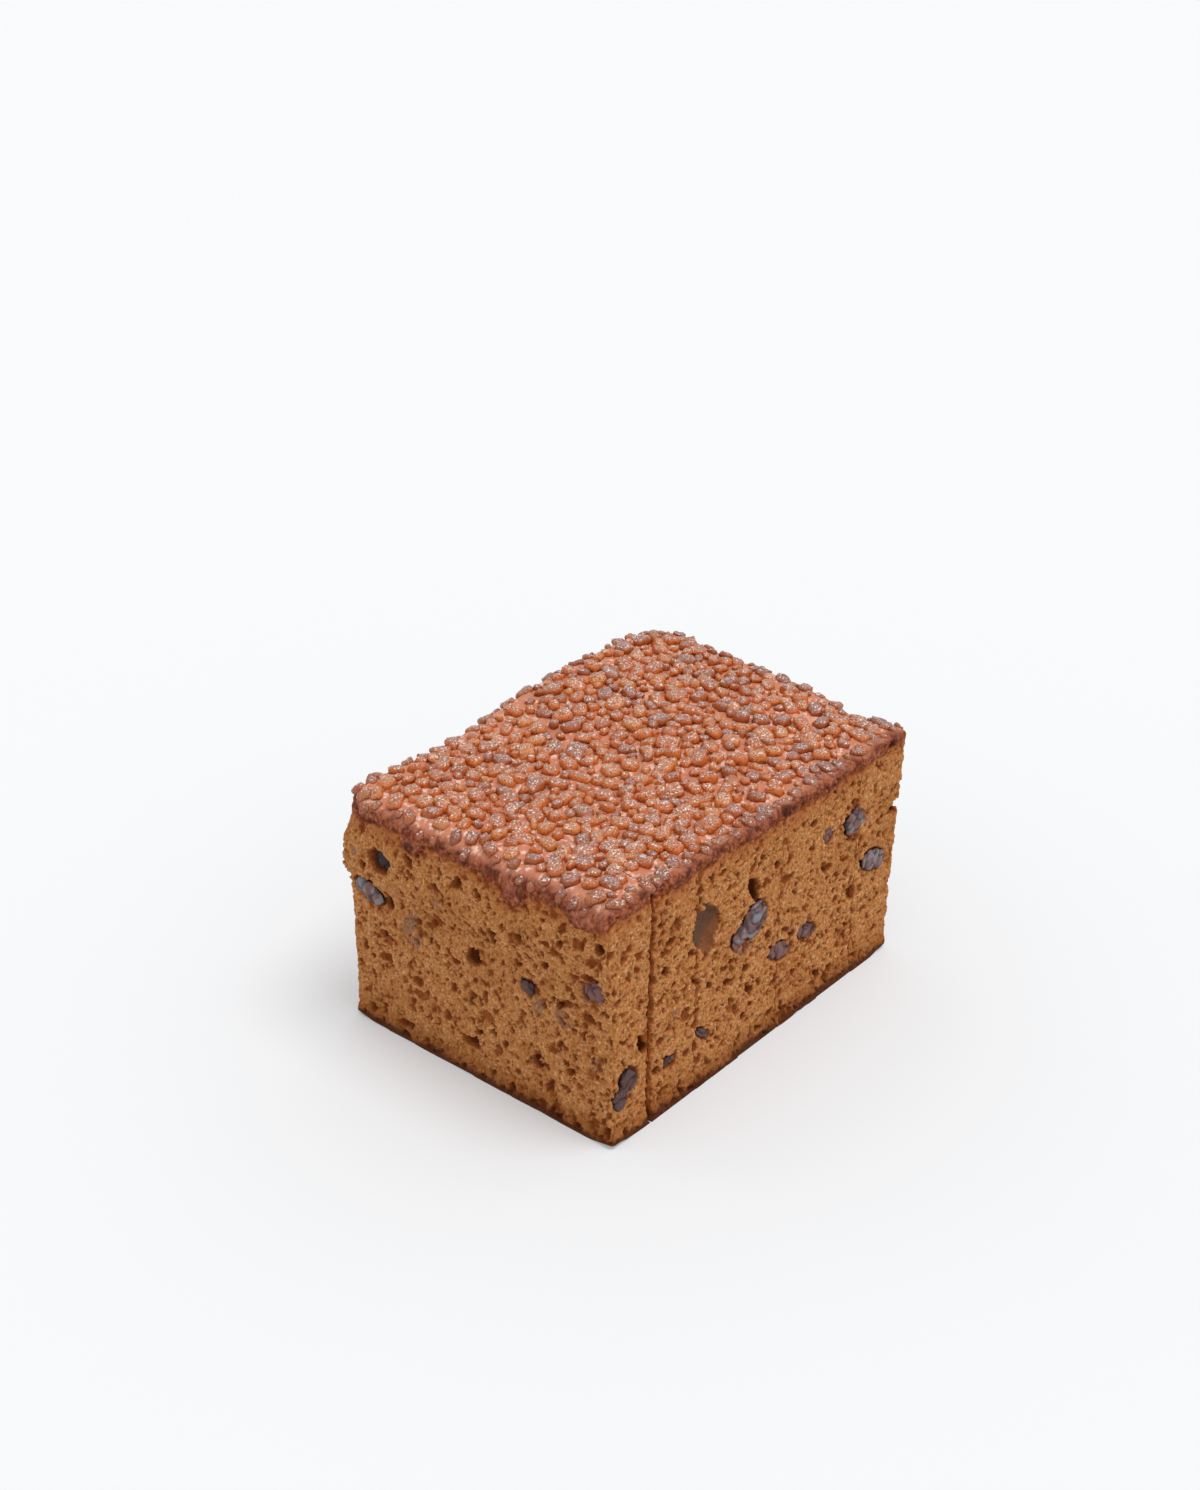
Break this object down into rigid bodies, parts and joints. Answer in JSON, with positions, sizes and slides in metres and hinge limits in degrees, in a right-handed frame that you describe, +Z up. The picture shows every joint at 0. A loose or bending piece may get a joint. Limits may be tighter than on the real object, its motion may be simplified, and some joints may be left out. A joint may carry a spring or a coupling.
{
  "type": "gingerbread cake",
  "caption": "Sliced block of dark gingerbread cake with raisins in its cut sides and a crust of baked sugar nibs.",
  "frame": {"origin": "under the middle of the block's outline, on the table", "axes": "+X through the slices from the near left end to the far right end, +Y along the slices to the back, +Z up"},
  "size_m": [0.104, 0.075, 0.0616],
  "materials": {
    "crumb": "soft open crumb, tan brown, with a red-brown crust and amber sugar nibs on top",
    "raisin": "wrinkled skin, slate grey to purple black, dull shine"
  },
  "bodies": {
    "root": {"raisin_back_high": "raisin", "raisin_back_large": "raisin", "raisin_back_low": "raisin", "raisin_back_right": "raisin", "raisin_corner": "raisin", "raisin_end_corner": "raisin", "raisin_end_edge": "raisin", "raisin_end_high": "raisin", "raisin_end_middle": "raisin", "raisin_far_high": "raisin", "raisin_far_low": "raisin", "raisin_far_middle": "raisin", "raisin_high_in_slice_6": "raisin", "raisin_high_in_slice_7": "raisin", "raisin_high_small": "raisin", "raisin_large_in_slice_3": "raisin", "raisin_large_in_slice_4": "raisin", "raisin_low_left": "raisin", "raisin_low_second": "raisin", "raisin_purple_in_slice_4": "raisin", "raisin_purple_in_slice_5": "raisin", "raisin_purple_small": "raisin", "raisin_right": "raisin", "slice_1": "crumb", "slice_2": "crumb", "slice_3": "crumb", "slice_4": "crumb", "slice_5": "crumb", "slice_6": "crumb", "slice_7": "crumb"}
  },
  "joints": []
}
